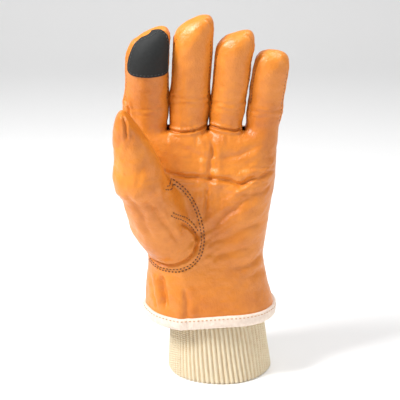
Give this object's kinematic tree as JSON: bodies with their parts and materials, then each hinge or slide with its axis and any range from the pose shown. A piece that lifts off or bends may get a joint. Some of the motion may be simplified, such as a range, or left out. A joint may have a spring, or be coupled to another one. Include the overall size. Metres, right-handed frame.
{
  "type": "work glove",
  "caption": "Left-hand lined leather work glove with fingers and thumb that bend, a touch fingertip patch, bound hem and rib-knit cuff, standing open.",
  "frame": {"origin": "centre of the cuff's mouth, on the surface that the glove stands on", "axes": "+Z from the cuff to the fingertips, -Y the way the palm faces, -X the thumb's side"},
  "size_m": [0.1248, 0.0993, 0.2755],
  "materials": {
    "leather": "soft matt full grain",
    "leather_patch": "soft matt full grain, sewn on as a second layer",
    "touch_fabric": "smooth matt coated fabric",
    "binding_tape": "woven tape, matt",
    "rib_knit": "rib knit yarn, matt",
    "fleece_lining": "brushed pile, matt",
    "elastic": "covered elastic tape"
  },
  "bodies": {
    "hand": {"palm_panel": "leather", "back_panel": "leather", "keystone_patch": "leather_patch", "lining_palm": "fleece_lining", "lining_back": "fleece_lining", "wrist_elastic": "elastic", "hem_binding": "binding_tape", "knit_cuff": "rib_knit"},
    "index_lower": {"index_lower_front": "leather", "index_lower_back": "leather", "index_lower_sidewall": "leather", "index_lower_lining": "fleece_lining"},
    "index_upper": {"index_upper_front": "leather", "index_upper_back": "leather", "index_upper_sidewall": "leather", "index_upper_lining": "fleece_lining", "touchscreen_patch": "touch_fabric"},
    "middle_lower": {"middle_lower_front": "leather", "middle_lower_back": "leather", "middle_lower_sidewall": "leather", "middle_lower_lining": "fleece_lining"},
    "middle_upper": {"middle_upper_front": "leather", "middle_upper_back": "leather", "middle_upper_sidewall": "leather", "middle_upper_lining": "fleece_lining"},
    "ring_lower": {"ring_lower_front": "leather", "ring_lower_back": "leather", "ring_lower_sidewall": "leather", "ring_lower_lining": "fleece_lining"},
    "ring_upper": {"ring_upper_front": "leather", "ring_upper_back": "leather", "ring_upper_sidewall": "leather", "ring_upper_lining": "fleece_lining"},
    "little_lower": {"little_lower_front": "leather", "little_lower_back": "leather", "little_lower_sidewall": "leather", "little_lower_lining": "fleece_lining"},
    "little_upper": {"little_upper_front": "leather", "little_upper_back": "leather", "little_upper_sidewall": "leather", "little_upper_lining": "fleece_lining"},
    "thumb_lower": {"thumb_lower_pad": "leather", "thumb_lower_back": "leather", "thumb_lower_lining": "fleece_lining"},
    "thumb_upper": {"thumb_upper_pad": "leather", "thumb_upper_back": "leather", "thumb_upper_lining": "fleece_lining"}
  },
  "joints": [
    {"name": "index_base", "type": "hinge", "parent": "hand", "child": "index_lower", "pos_m": [-0.054, -0.0156, 0.186], "axis": [1, 0, 0], "range_deg": [-8, 35]},
    {"name": "index_middle", "type": "hinge", "parent": "index_lower", "child": "index_upper", "pos_m": [-0.05316, -0.01687, 0.207], "axis": [1, 0, 0], "range_deg": [-10, 62]},
    {"name": "middle_base", "type": "hinge", "parent": "hand", "child": "middle_lower", "pos_m": [-0.0235, -0.0157, 0.186], "axis": [1, 0, 0], "range_deg": [-8, 70]},
    {"name": "middle_middle", "type": "hinge", "parent": "middle_lower", "child": "middle_upper", "pos_m": [-0.02183, -0.01763, 0.215], "axis": [1, 0, 0], "range_deg": [-10, 80]},
    {"name": "ring_base", "type": "hinge", "parent": "hand", "child": "ring_lower", "pos_m": [0.0036, -0.015, 0.186], "axis": [1, 0, 0], "range_deg": [-8, 70]},
    {"name": "ring_middle", "type": "hinge", "parent": "ring_lower", "child": "ring_upper", "pos_m": [0.00588, -0.01745, 0.211], "axis": [1, 0, 0], "range_deg": [-10, 80]},
    {"name": "little_base", "type": "hinge", "parent": "hand", "child": "little_lower", "pos_m": [0.0292, -0.0153, 0.186], "axis": [1, 0, 0], "range_deg": [-8, 70]},
    {"name": "little_middle", "type": "hinge", "parent": "little_lower", "child": "little_upper", "pos_m": [0.0316, -0.01679, 0.205], "axis": [1, 0, 0], "range_deg": [-10, 80]},
    {"name": "thumb_spread", "type": "hinge", "parent": "hand", "child": "thumb_lower", "pos_m": [-0.058, -0.005, 0.097], "axis": [0, -1, 0], "range_deg": [0, 25]},
    {"name": "thumb_middle", "type": "hinge", "parent": "thumb_lower", "child": "thumb_upper", "pos_m": [-0.04571, -0.05706, 0.16971], "axis": [0.6276, 0.7551, 0.1897], "range_deg": [0, 60]}
  ]
}
